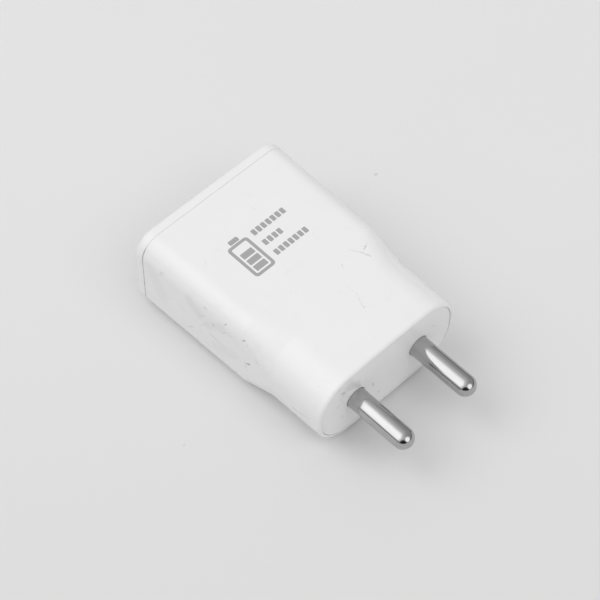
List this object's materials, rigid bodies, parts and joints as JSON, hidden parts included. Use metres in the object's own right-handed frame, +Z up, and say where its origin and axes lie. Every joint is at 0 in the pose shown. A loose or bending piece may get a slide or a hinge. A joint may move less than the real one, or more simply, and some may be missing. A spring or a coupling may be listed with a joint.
{
  "type": "usb wall charger",
  "caption": "Compact white plug-in wall charger: a sleeve housing that narrows to a rounded neck with round mains pins, closed behind by an end cap with a USB-A port.",
  "frame": {"origin": "centre of the bounding box's bottom face, on the plane that the charger lies on, midway between the pin tips and the end cap", "axes": "+X across the width, +Y from the mains pins to the USB port, +Z up out of the broad printed side; the charger lies on its other broad side"},
  "size_m": [0.0426, 0.0738, 0.0228],
  "materials": {
    "white_housing": "moulded white ABS/PC, semi-gloss, faint scuffs",
    "printed_ink": "pad-printed neutral grey ink on the top face",
    "pin_nickel": "bright nickel-plated brass, turned",
    "spring_bronze": "phosphor bronze strip",
    "board_laminate": "green solder mask on glass laminate",
    "resistor_coating": "cement coating",
    "capacitor_sleeve": "dark shrink sleeve on an aluminium can",
    "ferrite": "sintered dark grey",
    "copper_wire": "enamelled copper",
    "winding_tape": "yellow polyester tape",
    "black_plastic": "moulded epoxy or phenolic",
    "disc_coating": "blue epoxy coat",
    "can_aluminium": "bare drawn can",
    "chip_ceramic": "ceramic chip with tinned ends",
    "usb_steel": "nickel-plated steel sheet",
    "usb_plastic": "white glass-filled moulding",
    "contact_gold": "gold-flashed bronze"
  },
  "bodies": {
    "housing": {"main_shell": "white_housing", "usb_end_cap": "white_housing", "pin_plate": "white_housing", "pin_left": "pin_nickel", "pin_right": "pin_nickel", "pin_contact_left": "spring_bronze", "pin_contact_right": "spring_bronze", "main_board": "board_laminate", "fuse_resistor": "resistor_coating", "bulk_capacitor_large": "capacitor_sleeve", "bulk_capacitor_small": "capacitor_sleeve", "choke_drum": "ferrite", "choke_winding": "copper_wire", "transformer_core_front": "ferrite", "transformer_core_rear": "ferrite", "transformer_bobbin": "black_plastic", "transformer_winding": "winding_tape", "isolation_capacitor": "disc_coating", "snubber_diode": "black_plastic", "output_capacitor_left": "can_aluminium", "output_capacitor_right": "can_aluminium", "bridge_rectifier": "black_plastic", "switching_transistor": "black_plastic", "controller_chip": "black_plastic", "optocoupler": "black_plastic", "output_rectifier": "black_plastic", "fast_charge_chip": "black_plastic", "snubber_resistor": "chip_ceramic", "sense_resistor": "chip_ceramic", "feedback_resistor": "chip_ceramic", "supply_capacitor": "chip_ceramic", "snubber_capacitor": "chip_ceramic", "output_filter_capacitor": "chip_ceramic", "usb_shell": "usb_steel", "usb_insulator": "usb_plastic", "usb_contact_tail_1": "contact_gold", "usb_contact_tail_2": "contact_gold", "usb_contact_tail_3": "contact_gold", "usb_contact_tail_4": "contact_gold"},
    "usb_contact_1": {"usb_contact_1": "contact_gold"},
    "usb_contact_2": {"usb_contact_2": "contact_gold"},
    "usb_contact_3": {"usb_contact_3": "contact_gold"},
    "usb_contact_4": {"usb_contact_4": "contact_gold"}
  },
  "joints": [
    {"name": "contact_flex_1", "type": "hinge", "parent": "housing", "child": "usb_contact_1", "pos_m": [-0.0035, 0.02635, 0.01162], "axis": [1, 0, 0], "range_deg": [0, 3.8], "stiffness_Nm_per_rad": 0.07},
    {"name": "contact_flex_2", "type": "hinge", "parent": "housing", "child": "usb_contact_2", "pos_m": [-0.001, 0.02635, 0.01162], "axis": [1, 0, 0], "range_deg": [0, 3.8], "stiffness_Nm_per_rad": 0.07},
    {"name": "contact_flex_3", "type": "hinge", "parent": "housing", "child": "usb_contact_3", "pos_m": [0.001, 0.02635, 0.01162], "axis": [1, 0, 0], "range_deg": [0, 3.8], "stiffness_Nm_per_rad": 0.07},
    {"name": "contact_flex_4", "type": "hinge", "parent": "housing", "child": "usb_contact_4", "pos_m": [0.0035, 0.02635, 0.01162], "axis": [1, 0, 0], "range_deg": [0, 3.8], "stiffness_Nm_per_rad": 0.07}
  ]
}
